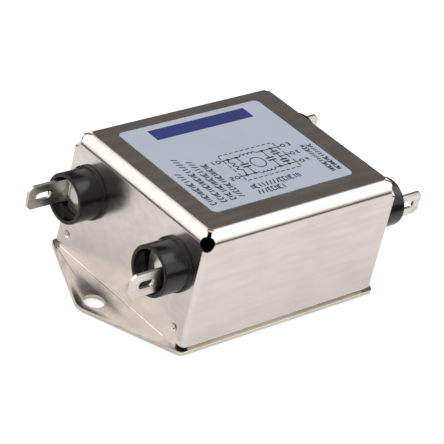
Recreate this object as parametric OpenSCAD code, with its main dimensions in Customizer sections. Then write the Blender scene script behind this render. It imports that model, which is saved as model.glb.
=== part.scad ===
// Single-phase mains EMI line filter in a folded steel case, for bolting to a chassis.
// Millimetres, +Z up. The origin is the centre of the base plate's underside.
// -X is the input end (terminals 1 and 2), +X the output end (terminals 3 and 4, and earth).

/* [Case] */
// Length of the cover over its end walls
case_l = 61.8; // [58:0.2:72]
// Width of the cover over its long walls
case_w = 49.4; // [47:0.1:60]
// Height of the cover above the base plate
case_h = 31.6; // [29:0.2:40]
// Thickness of the cover's sheet
sheet_t = 0.8; // [0.6:0.1:1]
// Outside radius of the four bends round the top panel
bend_r = 2.8; // [2:0.1:3.4]
// Outside radius of the four upright corners
corner_r = 1.2; // [1.1:0.1:2]
// Outside radius of the bend at the foot of each long wall
foot_bend_r = 1.1; // [1:0.1:1.4]
// Width of the lip that each long wall turns in under the case
foot_lip_w = 4.5; // [3:0.1:5.5]
// Diameter of the bend relief hole at each top corner
relief_d = 3.4; // [3:0.1:4.4]
// Width of the slit that runs from each relief hole to the top panel
relief_slit_w = 0.9; // [0.6:0.1:1.4]
// Drop from the top panel to the centre of each relief hole
relief_drop = 2.6; // [2:0.1:3]
// Height of the notch at the foot of each upright corner
foot_notch_h = 0.9; // [0.5:0.1:1.4]
// Run of that notch along each wall
foot_notch_w = 2.4; // [1.6:0.1:3]

/* [Return tabs] */
// Height of the tab that each long wall turns in behind the end wall
return_tab_h = 10; // [8:0.5:11]
// Width of that tab behind the end wall
return_tab_w = 5.6; // [5:0.1:7]
// Diameter of the clinch dimple that joins tab and end wall
clinch_d = 1.8; // [1.4:0.1:2.2]
// Depth of the clinch dimple
clinch_depth = 0.9; // [0.6:0.1:1.1]
// Distance of each clinch from the side of the case
clinch_inset = 4.2; // [4:0.1:5]
// Height of each clinch above the base plate
clinch_z = 4.4; // [4:0.1:7]

/* [Base plate] */
// Thickness of the base plate
plate_t = 1.0; // [0.8:0.1:1.5]
// Distance between the two mounting holes
hole_pitch = 75; // [73:0.5:90]
// Diameter of each mounting hole
ear_hole_d = 5.2; // [4:0.1:6]
// Radius of the rounded point of each ear
ear_r = 4.7; // [4.2:0.1:6]
// Reach of the plate's square corners past the end walls
plate_shoulder = 0.4; // [0.2:0.1:2]
// Reach of the plate's long edges past the long walls
plate_lip = 0.4; // [0.1:0.1:1]

/* [Label] */
// Length of the label
label_l = 44.8; // [36:0.4:48]
// Width of the label
label_w = 36.2; // [30:0.2:38]
// Thickness of the label
label_t = 0.15; // [0.1:0.05:0.3]
// Radius of the label's corners
label_r = 1.5; // [0.5:0.1:3]
// Offset of the label from the middle of the top panel, towards the input end
label_back = 0.4; // [0:0.1:1]
// Offset of the label from the middle of the top panel, towards terminals 1 and 3
label_y = 1.1; // [-1:0.1:1.2]

/* [Terminal collars] */
// Distance of each terminal's axis from the side of the case
term_inset = 8.7; // [8:0.05:9.5]
// Height of the terminals above the base plate
term_z = 19.1; // [18.6:0.1:20]
// Outside diameter of the collar's barrel
collar_d = 12.5; // [12.3:0.1:13]
// Bore of the collar's mouth
collar_bore_d = 10.5; // [10.3:0.1:10.9]
// Projection of the collar from the end wall
collar_l = 7.6; // [7:0.1:10]
// Thickness of the collar's floor outside the end wall
collar_floor = 2.9; // [2:0.1:3.2]
// Diameter of the collar's flange
collar_flange_d = 13.4; // [13.2:0.1:14.4]
// Thickness of the collar's flange
collar_flange_t = 1.0; // [0.8:0.1:1.5]
// Chamfer round the collar's mouth and flange
collar_chamfer = 0.25; // [0.1:0.05:0.35]
// Diameter of the spigot that passes through the end wall
spigot_d = 7.6; // [6:0.1:8.5]
// Diameter of the insulating washer inside the end wall
washer_d = 12; // [11:0.1:12]
// Thickness of the insulating washer
washer_t = 0.8; // [0.6:0.1:1]

/* [Blades] */
// Width of each push-on blade
blade_w = 6.3; // [5.8:0.1:6.4]
// Thickness of each blade
blade_t = 0.8; // [0.5:0.1:0.9]
// Projection of each insulated blade past the collar's mouth
blade_reach = 8.2; // [7.8:0.1:10]
// Projection of the earth blade from the end wall
earth_reach = 9.6; // [8:0.1:10]
// Distance of the blade's middle from the axis of its rivet
blade_offset = 3.4; // [3.2:0.1:3.5]
// Inside radius of the bend between the blade and its foot
blade_bend_r = 0.4; // [0.3:0.1:0.6]
// Chamfer at the two corners of the blade's tip
tip_chamfer = 1.1; // [0.6:0.1:1.6]
// Length of the slot in the blade
slot_l = 4.4; // [3:0.1:4.8]
// Width of the slot in the blade
slot_w = 2.0; // [1.6:0.1:2.4]
// Distance of the slot's middle from the tip
slot_back = 4.5; // [4:0.1:5]
// Distance of the foot's straight edge from the rivet axis
foot_edge = 4.4; // [3.4:0.1:4.6]

/* [Rivets and tags] */
// Diameter of the rivets' shanks
rivet_d = 2.4; // [2:0.1:3]
// Diameter of the rivets' heads
rivet_head_d = 4.4; // [4:0.1:5]
// Height of the rivets' heads
rivet_head_h = 0.6; // [0.4:0.1:0.8]
// Thickness of the solder tags
tag_t = 0.5; // [0.4:0.1:0.8]
// Radius of the tag round its rivet
tag_r = 3.2; // [2.8:0.1:3.6]
// Width of the tag's tongue
tag_tongue_w = 3; // [2.4:0.1:4]
// Reach of the tongue below the rivet axis
tag_tongue_l = 7; // [6:0.1:7.5]

/* [Tray and board] */
// Thickness of the insulating tray's floor and walls
tray_t = 0.8; // [0.6:0.1:1]
// Height of the insulating tray
tray_h = 7; // [6:0.5:8]
// Height of the pillars that carry the board
pillar_h = 2.2; // [1.8:0.1:3]
// Diameter of the pillars
pillar_d = 4; // [3:0.5:5]
// Distance of the pillars from the middle of the board
pillar_x = 9; // [8:0.5:10]
// Thickness of the circuit board
board_t = 1.6; // [1:0.1:1.6]
// Diameter of the board's lead holes
lead_hole_d = 1.3; // [1.2:0.1:1.6]

/* [Choke] */
// Outside diameter of the ring core
core_od = 20; // [18:0.5:22]
// Inside diameter of the ring core
core_id = 10; // [9.5:0.5:11]
// Height of the ring core
core_h = 8; // [6:0.5:9]
// Chamfer at the ring core's edges
core_chamfer = 0.7; // [0.6:0.05:1]
// Diameter of the enamelled wire
wire_d = 0.9; // [0.6:0.1:1]
// Turns in each winding
turns = 8; // [4:1:8]
// Angle that each winding covers
winding_angle = 136; // [120:2:140]
// Thickness of the divider between the windings
divider_t = 1.6; // [1:0.1:2]

/* [Capacitors and resistor] */
// Distance of the capacitors from the ends of the board
cap_end_inset = 8; // [7:0.2:9]
// Length of the X capacitors
x_cap_l = 13; // [10:0.5:14]
// Thickness of the X capacitors
x_cap_t = 6; // [5:0.5:6]
// Height of the X capacitors
x_cap_h = 12; // [9:0.5:13]
// Lead pitch of the X capacitors
x_cap_pitch = 10; // [7.5:0.5:10]
// Length of the Y capacitors
y_cap_l = 10; // [9.5:0.5:10]
// Thickness of the Y capacitors
y_cap_t = 4; // [3:0.5:4]
// Height of the Y capacitors
y_cap_h = 9; // [7:0.5:10]
// Lead pitch of the Y capacitors
y_cap_pitch = 7.5; // [5:0.5:7.5]
// Distance of the Y capacitors and the resistor from the board's long edges
y_cap_side_inset = 4.95; // [4.7:0.05:5.5]
// Diameter of the bleed resistor's body
resistor_d = 2.5; // [2:0.1:3]
// Length of the bleed resistor's body
resistor_l = 6.5; // [5:0.5:7]
// Lead pitch of the bleed resistor
resistor_pitch = 10; // [9:0.5:10]
// Diameter of the components' leads
lead_d = 0.8; // [0.6:0.1:0.9]

/* [Link wires] */
// Diameter of the link wires
link_d = 0.9; // [0.6:0.1:1]
// Distance of the link wires' board holes from the board's ends
link_inset = 1.7; // [1.4:0.1:2]

/* [Hidden] */
$fn = 48;

// Overshoot of a cutting tool past the face it cuts
over = 1;
// Clearance between pieces that are pushed together
fit = 0.1;
// Clearance of a shank or lead that drops into its hole
slip = 0.05;

end_x = case_l / 2;
side_y = case_w / 2;
shoulder_x = end_x + plate_shoulder;
plate_y = side_y + plate_lip;
inner_x = end_x - sheet_t;
inner_y = side_y - sheet_t;
top_z = plate_t + case_h;
axis_z = plate_t + term_z;
clinch_y = side_y - clinch_inset;
term_y = side_y - term_inset;
// A clinch punches a boss through the tab that is a sheet wider all round than the dimple
clinch_boss_d = clinch_d + 2 * sheet_t;
clinch_boss_x = inner_x - sheet_t - clinch_depth;

// Collar stack, measured outwards from the outer face of the end wall
spigot_l = sheet_t + washer_t;
wall_hole_d = spigot_d + 2 * fit;
blade_tip = collar_l + blade_reach;
foot_r = collar_bore_d / 2 - fit;
rivet_hole_d = rivet_d + 2 * slip;

// Tray, board and what stands on it
tray_l = 2 * (clinch_boss_x - 2 * fit);
tray_w = 2 * (inner_y - foot_lip_w - 2 * fit);
tray_floor_z = plate_t + tray_t;
board_z = tray_floor_z + pillar_h;
board_top = board_z + board_t;
board_l = tray_l - 2 * (tray_t + 2 * fit);
board_w = tray_w - 2 * (tray_t + 2 * fit);
pillar_y = board_w / 2 - pillar_d / 2;
// Leads end this far under the board, clear of the tray's floor
lead_tail = pillar_h / 2;
lead_end_z = board_z - lead_tail;
link_x = board_l / 2 - link_inset;
cap_x = board_l / 2 - cap_end_inset;
y_cap_y = board_w / 2 - y_cap_side_inset;

// Choke, lying flat over the middle of the board
core_mid_r = (core_od + core_id) / 4;
wrap_gap = wire_d / 2 + slip;
wrap_a = (core_od - core_id) / 4 + wrap_gap;
wrap_b = core_h / 2 + wrap_gap;
core_z = board_top + wire_d + 3 * fit;
core_mid_z = core_z + core_h / 2;
turn_angle = winding_angle / turns;
wire_sides = 6;

// ---- Plain 2D and 3D helpers -------------------------------------------------------------

// Rectangle centred on the origin with round corners
module round_rect(l, w, r) {
    square([l - 2 * r, w], center = true);
    square([l, w - 2 * r], center = true);
    for (sx = [-1, 1], sy = [-1, 1])
        translate([sx * (l / 2 - r), sy * (w / 2 - r)]) circle(r);
}

// Side view of the case: w wide, from z = 0 up to h, with its two top corners rounded
module arch(w, h, r) {
    translate([-w / 2, 0]) square([w, h - r]);
    translate([-w / 2 + r, 0]) square([w - 2 * r, h]);
    for (s = [-1, 1]) translate([s * (w / 2 - r), h - r]) circle(r);
}

// Rounded box that stands on z = 0: the overlap of its plan and its two side views
module case_block(l, w, h, r_top, r_corner) {
    intersection() {
        linear_extrude(h) round_rect(l, w, r_corner);
        rotate([90, 0, 0]) translate([0, 0, -w / 2 - over]) linear_extrude(w + 2 * over)
            arch(l, h, r_top);
        rotate([90, 0, 90]) translate([0, 0, -l / 2 - over]) linear_extrude(l + 2 * over)
            arch(w, h, r_top);
    }
}

// Slot with round ends along X
module slot_2d(l, w) {
    square([l - w, w], center = true);
    for (s = [-1, 1]) translate([s * (l - w) / 2, 0]) circle(w / 2);
}

// Cylinder along +X from x = a to x = b
module rod_x(d, a, b) {
    translate([a, 0, 0]) rotate([0, 90, 0]) cylinder(d = d, h = b - a);
}

// The children at all four corners, mirrored about both centre planes
module four_corners() {
    for (mx = [0, 1], my = [0, 1]) mirror([mx, 0, 0]) mirror([0, my, 0]) children();
}

// Local frame of terminal n: origin where its axis meets the outer face of the end wall,
// +X out of the case and +Y towards the nearer long wall
module at_terminal(n) {
    sx = n < 3 ? -1 : 1;
    sy = n % 2 == 1 ? 1 : -1;
    translate([sx * end_x, sy * term_y, axis_z])
        mirror([sx < 0 ? 1 : 0, 0, 0]) mirror([0, sy < 0 ? 1 : 0, 0]) children();
}

module at_earth() {
    translate([end_x, 0, axis_z]) children();
}

// ---- Case ------------------------------------------------------------------------------

// Hole and slit that end the two top bends at a corner, cut along the diagonal
module corner_relief() {
    bend_end_x = end_x - bend_r;
    bend_end_y = side_y - bend_r;
    translate([bend_end_x, bend_end_y, top_z - relief_drop]) rotate([0, 0, 45]) {
        rod_x(relief_d, 0, 2 * bend_r);
        translate([0, -relief_slit_w / 2, 0])
            cube([2 * bend_r, relief_slit_w, relief_drop + over]);
    }
}

// Notch under an upright corner, where the foot bend of the long wall ends
module corner_foot_notch() {
    translate([end_x - foot_notch_w, side_y - foot_notch_w, plate_t - over])
        cube([foot_notch_w + over, foot_notch_w + over, foot_notch_h + over]);
}

// Foot of a long wall: the wall turns in through a quarter bend and lies on the base plate
module foot_lip() {
    lip_l = case_l - 2 * (corner_r + return_tab_w);
    translate([-lip_l / 2, 0, plate_t]) rotate([90, 0, 90]) linear_extrude(lip_l) {
        translate([inner_y - foot_lip_w, 0])
            square([foot_lip_w + sheet_t - foot_bend_r, sheet_t]);
        translate([side_y - foot_bend_r, foot_bend_r]) intersection() {
            difference() {
                circle(foot_bend_r);
                circle(foot_bend_r - sheet_t);
            }
            translate([0, -foot_bend_r]) square(foot_bend_r);
        }
    }
}

// Square edge of the long wall that the foot bend replaces
module foot_bend_cut() {
    lip_l = case_l - 2 * (corner_r + return_tab_w);
    translate([-lip_l / 2, side_y - foot_bend_r, plate_t - over])
        cube([lip_l, foot_bend_r + over, foot_bend_r + over]);
}

// Tab behind the end wall, with the boss that the clinch pushes through it
module return_tab() {
    tab_z = plate_t + foot_notch_h;
    translate([inner_x - sheet_t, side_y - corner_r - return_tab_w, tab_z])
        cube([sheet_t + slip, return_tab_w, return_tab_h]);
    translate([0, clinch_y, plate_t + clinch_z])
        rod_x(clinch_boss_d, clinch_boss_x, inner_x);
}

module clinch_dimple() {
    translate([0, clinch_y, plate_t + clinch_z])
        rod_x(clinch_d, end_x - clinch_depth, end_x + over);
}

// Holes for the four collar spigots and the earth rivet
module terminal_holes() {
    for (n = [1:4]) at_terminal(n) rod_x(wall_hole_d, -sheet_t - over, over);
    at_earth() rod_x(rivet_hole_d, -sheet_t - over, over);
}

module cover() {
    color([0.78, 0.76, 0.73]) difference() {
        union() {
            difference() {
                translate([0, 0, plate_t])
                    case_block(case_l, case_w, case_h, bend_r, corner_r);
                translate([0, 0, plate_t - over])
                    case_block(case_l - 2 * sheet_t, case_w - 2 * sheet_t,
                               case_h - sheet_t + over, bend_r - sheet_t, corner_r - sheet_t);
                foot_bend_cut();
                mirror([0, 1, 0]) foot_bend_cut();
            }
            foot_lip();
            mirror([0, 1, 0]) foot_lip();
            four_corners() return_tab();
        }
        four_corners() corner_relief();
        four_corners() corner_foot_notch();
        four_corners() clinch_dimple();
        terminal_holes();
    }
}

// Angle at which the line from the plate's shoulder touches a circle of radius r round the hole
function ear_tangent_angle(r) =
    let (dx = hole_pitch / 2 - shoulder_x, dy = plate_y)
    atan2(dy, -dx) - acos(r / sqrt(dx * dx + dy * dy));

module base_plate() {
    hole_x = hole_pitch / 2;
    // The straight edges end just inside the round point, so that the two outlines cross
    touch_r = ear_r - slip / 2;
    a = ear_tangent_angle(touch_r);
    touch = [hole_x + touch_r * cos(a), touch_r * sin(a)];
    color([0.78, 0.76, 0.73]) difference() {
        union() {
            linear_extrude(plate_t) polygon([
                [shoulder_x, plate_y], touch, [touch[0], -touch[1]], [shoulder_x, -plate_y],
                [-shoulder_x, -plate_y], [-touch[0], -touch[1]], [-touch[0], touch[1]],
                [-shoulder_x, plate_y]
            ]);
            for (s = [-1, 1]) translate([s * hole_x, 0, 0]) cylinder(r = ear_r, h = plate_t);
        }
        for (s = [-1, 1]) translate([s * hole_x, 0, -over])
            cylinder(d = ear_hole_d, h = plate_t + 2 * over);
    }
}

module label() {
    color([0.68, 0.71, 0.77]) translate([-label_back, label_y, top_z])
        linear_extrude(label_t) round_rect(label_l, label_w, label_r);
}

// ---- Terminals ---------------------------------------------------------------------------

// Turned collar: flange on the wall, open mouth, floor, and a spigot through the wall
module collar() {
    r = collar_d / 2;
    bore_r = collar_bore_d / 2;
    flange_r = collar_flange_d / 2;
    c = collar_chamfer;
    color([0.07, 0.07, 0.07]) rotate([0, 90, 0]) rotate_extrude() polygon([
        [rivet_hole_d / 2, -spigot_l], [spigot_d / 2, -spigot_l], [spigot_d / 2, 0],
        [flange_r, 0], [flange_r, collar_flange_t - c], [flange_r - c, collar_flange_t],
        [r, collar_flange_t], [r, collar_l - c], [r - c, collar_l],
        [bore_r + c, collar_l], [bore_r, collar_l - c], [bore_r, collar_floor],
        [rivet_hole_d / 2, collar_floor]
    ]);
}

// L-shaped tab on a seat at x = seat: a foot under the rivet, a bend, and the blade
module push_on_blade(seat, tip) {
    inner_y0 = blade_offset - blade_t / 2;
    bend_y = inner_y0 - blade_bend_r;
    bend_x = seat + blade_t + blade_bend_r;
    color([0.74, 0.72, 0.69]) {
        // Foot: a disc with one straight edge, drilled for the rivet
        translate([seat, 0, 0]) rotate([0, 90, 0]) linear_extrude(blade_t) difference() {
            intersection() {
                circle(foot_r);
                translate([-foot_r, -foot_edge]) square([2 * foot_r, foot_edge + bend_y]);
            }
            circle(d = rivet_hole_d);
        }
        // Quarter bend
        translate([bend_x, bend_y, -blade_w / 2]) linear_extrude(blade_w) intersection() {
            difference() {
                circle(blade_bend_r + blade_t);
                circle(blade_bend_r);
            }
            translate([-blade_bend_r - blade_t, 0]) square(blade_bend_r + blade_t);
        }
        // Blade, with a chamfered tip and a slot
        translate([0, inner_y0 + blade_t, 0]) rotate([90, 0, 0]) linear_extrude(blade_t)
            difference() {
                polygon([
                    [bend_x, -blade_w / 2], [tip - tip_chamfer, -blade_w / 2],
                    [tip, -blade_w / 2 + tip_chamfer], [tip, blade_w / 2 - tip_chamfer],
                    [tip - tip_chamfer, blade_w / 2], [bend_x, blade_w / 2]
                ]);
                translate([tip - slot_back, 0]) slot_2d(slot_l, slot_w);
            }
    }
}

module terminal_blade() {
    push_on_blade(collar_floor, blade_tip);
}

// Rivet that clamps from x = inside up to x = outside, with a head at each end
module rivet(inside, outside) {
    head_r = rivet_head_d / 2;
    color([0.8, 0.79, 0.77]) rotate([0, 90, 0]) rotate_extrude() polygon([
        [0, inside - rivet_head_h], [head_r * 0.8, inside - rivet_head_h],
        [head_r, inside - rivet_head_h / 2], [head_r, inside],
        [rivet_d / 2, inside], [rivet_d / 2, outside],
        [head_r, outside], [head_r, outside + rivet_head_h / 2],
        [head_r * 0.8, outside + rivet_head_h], [0, outside + rivet_head_h]
    ]);
}

module terminal_rivets() {
    for (n = [1:4]) at_terminal(n) rivet(-spigot_l - tag_t, collar_floor + blade_t);
}

module inner_washer() {
    color([0.72, 0.62, 0.42]) rotate([0, 90, 0])
        translate([0, 0, -spigot_l]) linear_extrude(washer_t) difference() {
            circle(d = washer_d);
            circle(d = wall_hole_d);
        }
}

// Flat tag whose outer face lies at x = face: a ring round the rivet and a tongue with an eye
module solder_tag(face) {
    eye_z = tag_tongue_l - tag_tongue_w / 2;
    color([0.8, 0.78, 0.74]) translate([face - tag_t, 0, 0]) rotate([0, 90, 0])
        linear_extrude(tag_t) difference() {
            union() {
                circle(tag_r);
                translate([0, -tag_tongue_w / 2])
                    square([tag_tongue_l - tag_tongue_w / 2, tag_tongue_w]);
                translate([eye_z, 0]) circle(d = tag_tongue_w);
            }
            circle(d = rivet_hole_d);
            translate([eye_z, 0]) circle(d = tag_tongue_w / 2);
        }
}

// ---- Tray and board ------------------------------------------------------------------------

module insulating_tray() {
    color([0.9, 0.88, 0.82]) translate([0, 0, plate_t]) {
        difference() {
            linear_extrude(tray_h) round_rect(tray_l, tray_w, tray_t);
            translate([0, 0, tray_t]) linear_extrude(tray_h)
                square([tray_l - 2 * tray_t, tray_w - 2 * tray_t], center = true);
        }
        four_corners() translate([pillar_x, pillar_y, tray_t])
            cylinder(d = pillar_d, h = pillar_h);
    }
}

// Places where leads pass through the board
function choke_lead_angles() =
    [for (base = [90, 270], s = [-0.5, 0.5]) base + s * winding_angle];
function lead_places() = concat(
    [for (s = [-1, 1], t = [-1, 1]) [s * cap_x, t * x_cap_pitch / 2]],
    [for (s = [-1, 1], t = [-1, 1]) [cap_x + t * y_cap_pitch / 2, s * y_cap_y]],
    [for (t = [-1, 1]) [-cap_x + t * resistor_pitch / 2, -y_cap_y]],
    [for (a = choke_lead_angles()) (core_mid_r + wrap_a) * [cos(a), sin(a)]],
    [for (s = [-1, 1], t = [-1, 1]) [s * link_x, t * term_y]],
    [[link_x, 0]]
);

module circuit_board() {
    color([0.72, 0.6, 0.36]) translate([0, 0, board_z]) difference() {
        linear_extrude(board_t) square([board_l, board_w], center = true);
        for (p = lead_places()) translate([p[0], p[1], -over])
            cylinder(d = lead_hole_d, h = board_t + 2 * over);
    }
}

// ---- Choke -----------------------------------------------------------------------------------

module ring_core() {
    c = core_chamfer;
    ri = core_id / 2;
    ro = core_od / 2;
    color([0.2, 0.21, 0.22]) translate([0, 0, core_z]) rotate_extrude() polygon([
        [ri + c, 0], [ro - c, 0], [ro, c], [ro, core_h - c],
        [ro - c, core_h], [ri + c, core_h], [ri, core_h - c], [ri, c]
    ]);
}

// Divider: a bar under the core that carries it, and a web that stands in its hole
module core_divider() {
    color([0.92, 0.92, 0.9]) {
        translate([-core_od / 2, -divider_t / 2, board_top])
            cube([core_od, divider_t, core_z - board_top]);
        translate([-core_id / 2 + fit, -divider_t / 2, board_top])
            cube([core_id - 2 * fit, divider_t, core_z + core_h - board_top]);
    }
}

// One turn of wire round the core's section: eight points, as [radial, upright] offsets
function turn_point(k) =
    let (a = wrap_a, b = wrap_b, c = core_chamfer + slip)
    [[a, c - b], [a, b - c], [a - c, b], [c - a, b],
     [-a, b - c], [-a, c - b], [c - a, -b], [a - c, -b]][k];

// A point of the winding at an angle round the ring and an offset in the core's section
function ring_point(angle, offset) = [
    (core_mid_r + offset[0]) * cos(angle),
    (core_mid_r + offset[0]) * sin(angle),
    core_mid_z + offset[1]
];

// The whole winding's path: up from the board, round the core, and down to the board
function winding_path(base) =
    let (first = base - winding_angle / 2, last = base + winding_angle / 2)
    concat(
        [ring_point(first, [wrap_a, lead_end_z - core_mid_z])],
        [for (t = [0:turns - 1], k = [0:7])
            ring_point(first + turn_angle * (t + k / 8), turn_point(k))],
        [ring_point(last, [wrap_a, -wrap_b / 2]),
         ring_point(last, [wrap_a, lead_end_z - core_mid_z])]
    );

function unit(v) = v / norm(v);

// Tube of the given radius along a path: one ring of points at each point of the path
module tube(path, r, sides) {
    n = len(path);
    tangent = [for (i = [0:n - 1]) unit(path[min(i + 1, n - 1)] - path[max(i - 1, 0)])];
    middle = [0, 0, core_mid_z];
    side = [for (i = [0:n - 1]) unit(cross(tangent[i], path[i] - middle))];
    points = [for (i = [0:n - 1], j = [0:sides - 1])
        path[i] + r * (cos(360 * j / sides) * side[i]
                       + sin(360 * j / sides) * cross(tangent[i], side[i]))];
    faces = concat(
        [[for (j = [0:sides - 1]) sides - 1 - j]],
        [for (i = [0:n - 2], j = [0:sides - 1])
            let (k = (j + 1) % sides)
            [i * sides + j, i * sides + k, (i + 1) * sides + k, (i + 1) * sides + j]],
        [[for (j = [0:sides - 1]) (n - 1) * sides + j]]
    );
    polyhedron(points, faces, convexity = 10);
}

module winding(base) {
    color([0.72, 0.36, 0.16]) tube(winding_path(base), wire_d / 2, wire_sides);
}

// ---- Capacitors and resistor -------------------------------------------------------------------

// Boxed film capacitor, standing on the board at the origin, long along X
module box_capacitor(l, t, h, pitch, tint) {
    color(tint) translate([0, 0, board_top]) {
        linear_extrude(h) round_rect(l, t, lead_d / 2);
        for (s = [-1, 1]) translate([s * pitch / 2, 0, lead_end_z - board_top])
            cylinder(d = lead_d, h = board_top - lead_end_z + slip);
    }
}

module x_capacitor() {
    rotate([0, 0, 90]) box_capacitor(x_cap_l, x_cap_t, x_cap_h, x_cap_pitch, [0.85, 0.72, 0.2]);
}

module y_capacitor() {
    box_capacitor(y_cap_l, y_cap_t, y_cap_h, y_cap_pitch, [0.2, 0.4, 0.65]);
}

// Axial resistor that lies on the board, with both leads bent down into it
module bleed_resistor() {
    mid_z = board_top + resistor_d / 2;
    color([0.75, 0.62, 0.45]) translate([-cap_x, -y_cap_y, mid_z]) {
        rod_x(resistor_d, -resistor_l / 2, resistor_l / 2);
        rod_x(lead_d, -resistor_pitch / 2, resistor_pitch / 2);
        for (s = [-1, 1]) translate([s * resistor_pitch / 2, 0, 0]) {
            sphere(d = lead_d);
            translate([0, 0, lead_end_z - mid_z]) cylinder(d = lead_d, h = mid_z - lead_end_z);
        }
    }
}

// ---- Link wires --------------------------------------------------------------------------------

module wire_run(a, b) {
    d = b - a;
    translate(a) rotate([0, acos(d[2] / norm(d)), atan2(d[1], d[0])])
        cylinder(d = link_d, h = norm(d));
}

// Wire from a tag's face, at x = face from the middle of the case, down into the board
module link_wire(face) {
    x = face - link_d / 2;
    high = [x, 0, axis_z - tag_r - link_d];
    knee = [x, 0, plate_t + tray_h + 4 * link_d];
    low = [link_x, 0, plate_t + tray_h + link_d];
    foot = [link_x, 0, lead_end_z];
    color([0.75, 0.74, 0.72]) {
        wire_run(high, knee);
        translate(knee) sphere(d = link_d + slip);
        wire_run(knee, low);
        translate(low) sphere(d = link_d + slip);
        wire_run(low, foot);
    }
}

module terminal_link_wire(n) {
    sx = n < 3 ? 1 : 0;
    translate([0, (n % 2 == 1 ? 1 : -1) * term_y, 0]) mirror([sx, 0, 0])
        link_wire(end_x - spigot_l - tag_t);
}

// ---- Nodes ---------------------------------------------------------------------------------------

cover();
base_plate();
label();
at_terminal(1) collar();  // collar_1
at_terminal(2) collar();  // collar_2
at_terminal(3) collar();  // collar_3
at_terminal(4) collar();  // collar_4
at_terminal(1) terminal_blade();  // blade_1
at_terminal(2) terminal_blade();  // blade_2
at_terminal(3) terminal_blade();  // blade_3
at_terminal(4) terminal_blade();  // blade_4
at_earth() push_on_blade(0, earth_reach);  // earth_blade
terminal_rivets();
at_earth() rivet(-sheet_t - tag_t, blade_t);  // earth_rivet
at_terminal(1) inner_washer();  // inner_washer_1
at_terminal(2) inner_washer();  // inner_washer_2
at_terminal(3) inner_washer();  // inner_washer_3
at_terminal(4) inner_washer();  // inner_washer_4
at_terminal(1) solder_tag(-spigot_l);  // solder_tag_1
at_terminal(2) solder_tag(-spigot_l);  // solder_tag_2
at_terminal(3) solder_tag(-spigot_l);  // solder_tag_3
at_terminal(4) solder_tag(-spigot_l);  // solder_tag_4
at_earth() solder_tag(-sheet_t);  // earth_solder_tag
insulating_tray();
circuit_board();
ring_core();
core_divider();
winding(90);  // line_winding
winding(270);  // neutral_winding
translate([-cap_x, 0, 0]) x_capacitor();  // input_x_capacitor
translate([cap_x, 0, 0]) x_capacitor();  // output_x_capacitor
translate([cap_x, y_cap_y, 0]) y_capacitor();  // line_y_capacitor
translate([cap_x, -y_cap_y, 0]) y_capacitor();  // neutral_y_capacitor
bleed_resistor();
terminal_link_wire(1);  // link_wire_1
terminal_link_wire(2);  // link_wire_2
terminal_link_wire(3);  // link_wire_3
terminal_link_wire(4);  // link_wire_4
link_wire(inner_x - tag_t);  // earth_link_wire
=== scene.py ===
"""Looks for a single-phase line filter in a folded steel case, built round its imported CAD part.

The CAD nodes keep their places. The pieces that show get a modelled stand-in with rolled edges,
and every node that stays gets a procedural finish. Sizes are millimetres until they reach Blender.
"""

from __future__ import annotations

import logging
import math
from collections.abc import Callable, Iterator
from contextlib import contextmanager
from dataclasses import dataclass, field
from enum import Enum

import bmesh
import bpy
from mathutils import Euler, Matrix, Vector


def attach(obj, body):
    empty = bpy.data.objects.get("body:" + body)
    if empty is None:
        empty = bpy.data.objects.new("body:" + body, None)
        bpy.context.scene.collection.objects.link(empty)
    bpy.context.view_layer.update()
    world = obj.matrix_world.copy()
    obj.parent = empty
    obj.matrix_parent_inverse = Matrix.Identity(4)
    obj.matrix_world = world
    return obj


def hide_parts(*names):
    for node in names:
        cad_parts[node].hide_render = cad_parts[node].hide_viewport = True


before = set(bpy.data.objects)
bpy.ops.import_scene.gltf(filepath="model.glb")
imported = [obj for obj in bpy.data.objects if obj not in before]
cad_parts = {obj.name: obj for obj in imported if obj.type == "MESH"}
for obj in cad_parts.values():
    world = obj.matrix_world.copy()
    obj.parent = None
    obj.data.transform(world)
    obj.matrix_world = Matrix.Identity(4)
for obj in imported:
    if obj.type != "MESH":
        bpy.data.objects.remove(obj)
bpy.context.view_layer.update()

log = logging.getLogger("line_filter")

MM = 0.001
BODY = "root"
SMOOTH_ANGLE = math.radians(32)

Point = tuple[float, float, float]
Colour = tuple[float, float, float]


# ---- Bench: the modelling steps that every piece uses ------------------------------------


def clear_selection() -> None:
    """Leaves edit mode and deselects every object."""
    active = bpy.context.view_layer.objects.active
    if active is not None and active.mode != "OBJECT":
        bpy.ops.object.mode_set(mode="OBJECT")
    bpy.ops.object.select_all(action="DESELECT")


def activate(piece: bpy.types.Object) -> None:
    """Makes a piece the only selected object and the active one.

    Args:
        piece: the object to work on.
    """
    clear_selection()
    piece.select_set(True)
    bpy.context.view_layer.objects.active = piece


@contextmanager
def editing(piece: bpy.types.Object, mode: str = "FACE") -> Iterator[None]:
    """Holds a piece in edit mode with nothing selected.

    Args:
        piece: the object to edit.
        mode: VERT, EDGE or FACE, the kind of element that is selected.
    """
    activate(piece)
    bpy.ops.object.mode_set(mode="EDIT")
    bpy.ops.mesh.select_mode(type=mode)
    bpy.ops.mesh.select_all(action="DESELECT")
    yield
    bpy.ops.object.mode_set(mode="OBJECT")


def pick_faces(piece: bpy.types.Object, test: Callable[[Vector, Vector], bool]) -> None:
    """Selects the faces of a piece in edit mode that pass a test, and no others.

    Args:
        piece: the object in edit mode.
        test: takes a face's centre in millimetres and its normal.
    """
    shape = bmesh.from_edit_mesh(piece.data)
    for face in shape.faces:
        face.select_set(test(face.calc_center_median() / MM, face.normal))
    shape.select_flush_mode()
    bmesh.update_edit_mesh(piece.data)


def pick_edges(piece: bpy.types.Object, test: Callable[[Vector, Vector], bool]) -> None:
    """Selects the edges of a piece in edit mode that pass a test, and no others.

    Args:
        piece: the object in edit mode.
        test: takes an edge's two ends in millimetres.
    """
    shape = bmesh.from_edit_mesh(piece.data)
    for edge in shape.edges:
        edge.select_set(test(edge.verts[0].co / MM, edge.verts[1].co / MM))
    shape.select_flush_mode()
    bmesh.update_edit_mesh(piece.data)


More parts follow.
